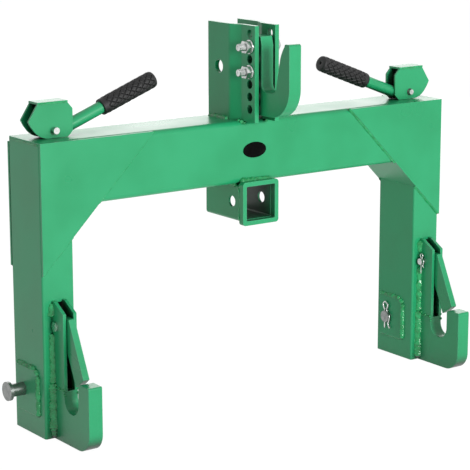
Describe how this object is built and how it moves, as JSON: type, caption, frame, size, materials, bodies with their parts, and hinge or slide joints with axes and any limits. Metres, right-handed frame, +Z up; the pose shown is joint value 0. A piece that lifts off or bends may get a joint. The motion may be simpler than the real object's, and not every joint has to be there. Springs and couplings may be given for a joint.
{
  "type": "three point quick hitch",
  "caption": "Welded steel implement hitch frame with lower hooks, lever operated latches, an adjustable top hook and a square receiver.",
  "frame": {"origin": "on the ground, at the middle of the bounding box", "axes": "+X across the hitch to the right as seen by someone facing the hooks, +Y from the hooks towards the tractor, +Z up"},
  "size_m": [0.7914, 0.186, 0.567],
  "materials": {
    "frame_paint": "glossy green enamel over welded mild steel",
    "moving_part_paint": "the same glossy green enamel, on the latches, levers and top hook",
    "zinc_plate": "bright zinc plated steel",
    "bare_steel": "drawn steel bar, lightly oiled",
    "spring_steel": "dark oiled spring steel",
    "grip_rubber": "matt moulded black rubber with a diamond pattern"
  },
  "bodies": {
    "frame": {"cross_beam": "frame_paint", "receiver_tube": "frame_paint", "receiver_collar": "frame_paint", "right_mast_plate": "frame_paint", "left_mast_plate": "frame_paint", "top_hook": "moving_part_paint", "right_leg": "frame_paint", "right_leg_cap": "frame_paint", "right_front_gusset": "frame_paint", "right_rear_gusset": "frame_paint", "right_corner_closing_plate": "frame_paint", "right_lower_hook": "frame_paint", "right_inner_latch_ear": "frame_paint", "right_outer_latch_ear": "frame_paint", "right_link_pin_pads": "frame_paint", "right_latch_pin": "zinc_plate", "right_latch_pin_clip": "zinc_plate", "left_leg": "frame_paint", "left_leg_cap": "frame_paint", "left_front_gusset": "frame_paint", "left_rear_gusset": "frame_paint", "left_corner_closing_plate": "frame_paint", "left_lower_hook": "frame_paint", "left_inner_latch_ear": "frame_paint", "left_outer_latch_ear": "frame_paint", "left_link_pin_pads": "frame_paint", "left_latch_pin": "zinc_plate", "left_latch_pin_clip": "zinc_plate", "top_hook_bolts": "zinc_plate", "top_hook_nuts": "zinc_plate"},
    "right_pull_rod_unit": {"right_pull_rod": "bare_steel", "right_return_spring": "spring_steel"},
    "right_lever": {"right_lever_side_plates": "moving_part_paint", "right_lever_top_plate": "moving_part_paint", "right_lever_tube": "moving_part_paint", "right_lever_grip": "grip_rubber", "right_lever_pin": "zinc_plate"},
    "right_latch_unit": {"right_latch": "moving_part_paint"},
    "right_link_pin_unit": {"right_lower_link_pin": "zinc_plate", "right_link_pin_clip": "zinc_plate"},
    "left_pull_rod_unit": {"left_pull_rod": "bare_steel", "left_return_spring": "spring_steel"},
    "left_lever": {"left_lever_side_plates": "moving_part_paint", "left_lever_top_plate": "moving_part_paint", "left_lever_tube": "moving_part_paint", "left_lever_grip": "grip_rubber", "left_lever_pin": "zinc_plate"},
    "left_latch_unit": {"left_latch": "moving_part_paint"},
    "left_link_pin_unit": {"left_lower_link_pin": "zinc_plate", "left_link_pin_clip": "zinc_plate"}
  },
  "joints": [
    {"name": "right_rod_slide", "type": "slide", "parent": "frame", "child": "right_pull_rod_unit", "axis": [0, 0, 1], "range_m": [0, 0.0135], "stiffness_N_per_m": 1200, "springref_m": -0.02, "deforming": ["right_return_spring"]},
    {"name": "right_lever_hinge", "type": "hinge", "parent": "right_pull_rod_unit", "child": "right_lever", "pos_m": [0.3265, 0.0435, 0.4365], "axis": [0, 1, 0], "range_deg": [0, 53]},
    {"name": "right_latch_hinge", "type": "hinge", "parent": "frame", "child": "right_latch_unit", "pos_m": [0.3415, -0.0065, 0.166], "axis": [1, 0, 0], "range_deg": [0, 31]},
    {"name": "right_link_pin_turn", "type": "hinge", "parent": "frame", "child": "right_link_pin_unit", "pos_m": [0.3415, 0.0625, 0.062], "axis": [1, 0, 0], "continuous": true},
    {"name": "left_rod_slide", "type": "slide", "parent": "frame", "child": "left_pull_rod_unit", "axis": [0, 0, 1], "range_m": [0, 0.0135], "stiffness_N_per_m": 1200, "springref_m": -0.02, "deforming": ["left_return_spring"]},
    {"name": "left_lever_hinge", "type": "hinge", "parent": "left_pull_rod_unit", "child": "left_lever", "pos_m": [-0.3265, 0.0435, 0.4365], "axis": [0, -1, 0], "range_deg": [0, 53]},
    {"name": "left_latch_hinge", "type": "hinge", "parent": "frame", "child": "left_latch_unit", "pos_m": [-0.3415, -0.0065, 0.166], "axis": [1, 0, 0], "range_deg": [0, 31]},
    {"name": "left_link_pin_turn", "type": "hinge", "parent": "frame", "child": "left_link_pin_unit", "pos_m": [-0.3415, 0.0625, 0.062], "axis": [1, 0, 0], "continuous": true}
  ],
  "couplings": [
    {"joint": "right_rod_slide", "follows": "right_lever_hinge", "m_per_rad": 0.014577},
    {"joint": "right_latch_hinge", "follows": "right_lever_hinge", "ratio": 0.58491},
    {"joint": "left_rod_slide", "follows": "left_lever_hinge", "m_per_rad": 0.014577},
    {"joint": "left_latch_hinge", "follows": "left_lever_hinge", "ratio": 0.58491}
  ]
}
